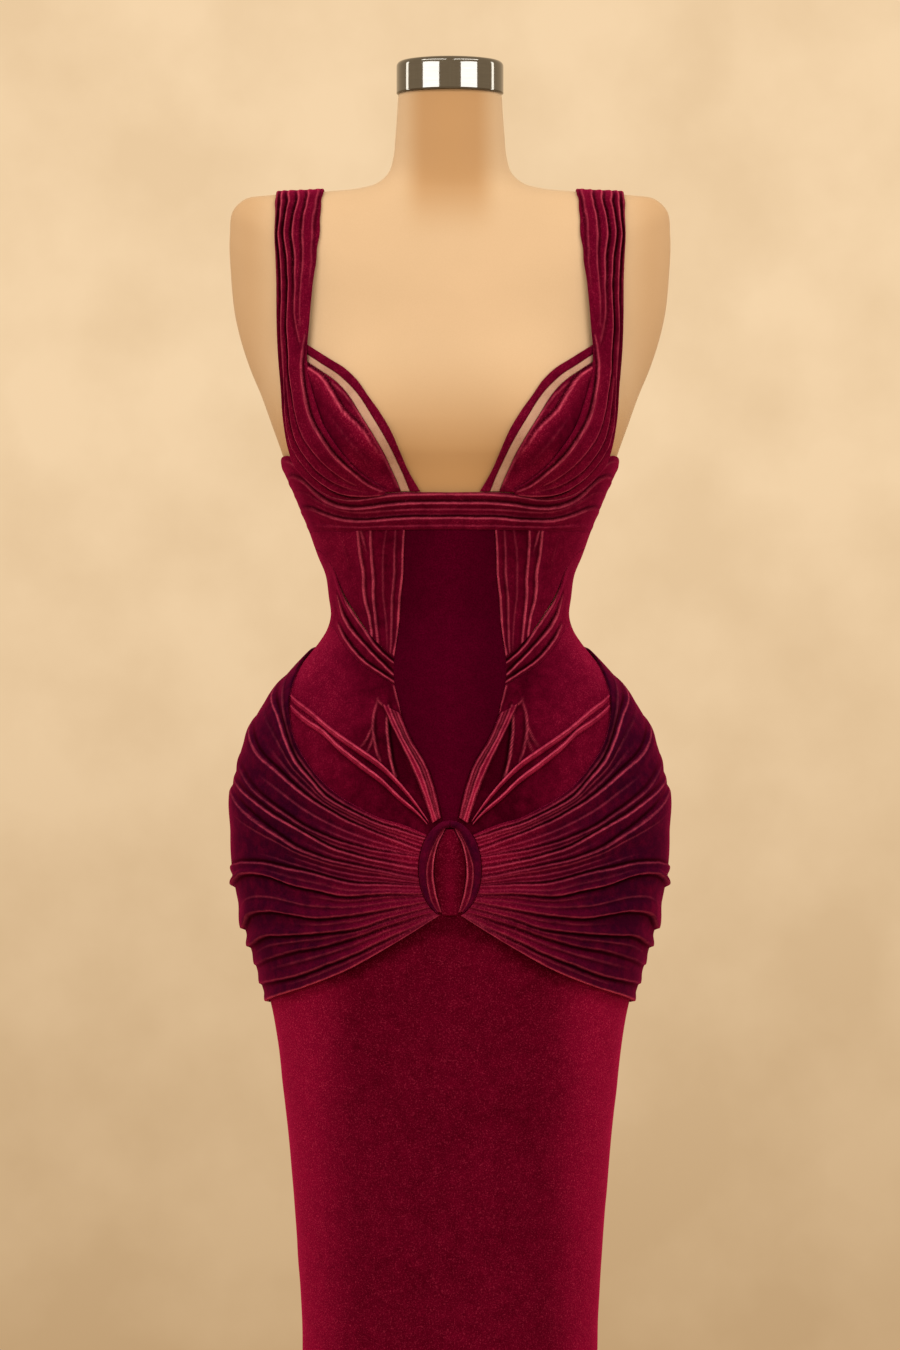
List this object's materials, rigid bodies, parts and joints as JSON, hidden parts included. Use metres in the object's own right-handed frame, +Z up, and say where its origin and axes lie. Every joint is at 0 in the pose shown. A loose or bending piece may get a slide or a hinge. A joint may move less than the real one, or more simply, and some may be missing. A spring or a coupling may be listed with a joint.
{
  "type": "evening dress on a dress form",
  "caption": "Full-length draped velvet evening dress with ruched straps, pleated hip sash and an oval knot, on a limbless dress form with a pole and a round base.",
  "frame": {"origin": "on the floor, at the middle of the base plate's underside, under the pole", "axes": "+Z up, -Y towards the front of the dress, +X towards the wearer's left"},
  "size_m": [0.419, 0.309, 1.6036],
  "materials": {
    "velvet": "crimson velvet, short pile with a bright sheen at grazing angles",
    "nude_mesh": "nude mesh, fine and matte",
    "form_cover": "smooth tan dress form",
    "chrome": "polished",
    "steel": "satin"
  },
  "bodies": {
    "root": {"bodice_back_left": "velvet", "bodice_back_right": "velvet", "bodice_centre_front": "velvet", "bodice_side_front_left": "velvet", "bodice_side_front_right": "velvet", "cup_left": "velvet", "cup_right": "velvet", "form_torso": "form_cover", "hip_strip_lower_left": "velvet", "hip_strip_lower_right": "velvet", "hip_strip_upper_left": "velvet", "hip_strip_upper_right": "velvet", "hip_yoke_left": "velvet", "hip_yoke_right": "velvet", "mesh_strip_left": "nude_mesh", "mesh_strip_right": "nude_mesh", "neck_cap": "chrome", "neckline_binding_left": "velvet", "neckline_binding_right": "velvet", "oval_crescent_left": "velvet", "oval_crescent_right": "velvet", "oval_middle": "velvet", "oval_ring_left": "velvet", "oval_ring_right": "velvet", "sash_back_left": "velvet", "sash_back_right": "velvet", "sash_front_left": "velvet", "sash_front_right": "velvet", "skirt_back_left": "velvet", "skirt_back_right": "velvet", "skirt_front": "velvet", "stand_base": "steel", "stand_pole": "steel", "strap_left": "velvet", "strap_right": "velvet", "underbust_band": "velvet", "v_strip_left": "velvet", "v_strip_right": "velvet", "waist_pleats_left": "velvet", "waist_pleats_right": "velvet"}
  },
  "joints": []
}
